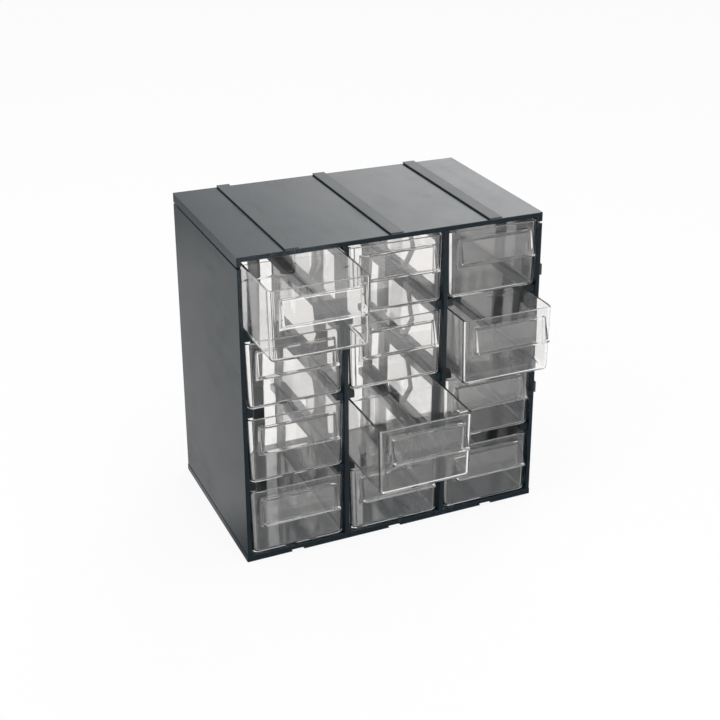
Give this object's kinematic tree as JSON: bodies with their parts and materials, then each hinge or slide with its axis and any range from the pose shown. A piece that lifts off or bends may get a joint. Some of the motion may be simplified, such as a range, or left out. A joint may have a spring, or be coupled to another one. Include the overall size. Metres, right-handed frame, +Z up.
{
  "type": "parts bin cabinet",
  "caption": "Desktop parts cabinet: a black moulded frame with stacking rails and clear slide-out drawers with label fronts.",
  "frame": {"origin": "middle of the base in the plane that the cabinet stands on, in the mouth of the middle base groove", "axes": "+Z up, front and drawer fronts facing -Y, +X to the right as seen from the front"},
  "size_m": [0.2236, 0.1995, 0.2257],
  "materials": {
    "carcass_black": "moulded polystyrene, satin gloss, charcoal black",
    "drawer_clear": "clear moulded polystyrene, polished"
  },
  "bodies": {
    "carcass": {"top_panel": "carcass_black", "bottom_panel": "carcass_black", "left_side_panel": "carcass_black", "right_side_panel": "carcass_black", "divider_left": "carcass_black", "divider_right": "carcass_black", "back_strap_left": "carcass_black", "back_strap_middle": "carcass_black", "back_strap_right": "carcass_black"},
    "drawer_r1c1": {"drawer_r1c1": "drawer_clear"},
    "drawer_r1c2": {"drawer_r1c2": "drawer_clear"},
    "drawer_r1c3": {"drawer_r1c3": "drawer_clear"},
    "drawer_r2c1": {"drawer_r2c1": "drawer_clear"},
    "drawer_r2c2": {"drawer_r2c2": "drawer_clear"},
    "drawer_r2c3": {"drawer_r2c3": "drawer_clear"},
    "drawer_r3c1": {"drawer_r3c1": "drawer_clear"},
    "drawer_r3c2": {"drawer_r3c2": "drawer_clear"},
    "drawer_r3c3": {"drawer_r3c3": "drawer_clear"},
    "drawer_r4c1": {"drawer_r4c1": "drawer_clear"},
    "drawer_r4c2": {"drawer_r4c2": "drawer_clear"},
    "drawer_r4c3": {"drawer_r4c3": "drawer_clear"}
  },
  "joints": [
    {"name": "drawer_r1c1_slide", "type": "slide", "parent": "carcass", "child": "drawer_r1c1", "axis": [0, -1, 0], "range_m": [-0.048, 0.062]},
    {"name": "drawer_r1c2_slide", "type": "slide", "parent": "carcass", "child": "drawer_r1c2", "axis": [0, -1, 0], "range_m": [0, 0.11]},
    {"name": "drawer_r1c3_slide", "type": "slide", "parent": "carcass", "child": "drawer_r1c3", "axis": [0, -1, 0], "range_m": [0, 0.11]},
    {"name": "drawer_r2c1_slide", "type": "slide", "parent": "carcass", "child": "drawer_r2c1", "axis": [0, -1, 0], "range_m": [0, 0.11]},
    {"name": "drawer_r2c2_slide", "type": "slide", "parent": "carcass", "child": "drawer_r2c2", "axis": [0, -1, 0], "range_m": [0, 0.11]},
    {"name": "drawer_r2c3_slide", "type": "slide", "parent": "carcass", "child": "drawer_r2c3", "axis": [0, -1, 0], "range_m": [-0.025, 0.085]},
    {"name": "drawer_r3c1_slide", "type": "slide", "parent": "carcass", "child": "drawer_r3c1", "axis": [0, -1, 0], "range_m": [0, 0.11]},
    {"name": "drawer_r3c2_slide", "type": "slide", "parent": "carcass", "child": "drawer_r3c2", "axis": [0, -1, 0], "range_m": [-0.05, 0.06]},
    {"name": "drawer_r3c3_slide", "type": "slide", "parent": "carcass", "child": "drawer_r3c3", "axis": [0, -1, 0], "range_m": [0, 0.11]},
    {"name": "drawer_r4c1_slide", "type": "slide", "parent": "carcass", "child": "drawer_r4c1", "axis": [0, -1, 0], "range_m": [0, 0.11]},
    {"name": "drawer_r4c2_slide", "type": "slide", "parent": "carcass", "child": "drawer_r4c2", "axis": [0, -1, 0], "range_m": [0, 0.11]},
    {"name": "drawer_r4c3_slide", "type": "slide", "parent": "carcass", "child": "drawer_r4c3", "axis": [0, -1, 0], "range_m": [0, 0.11]}
  ]
}
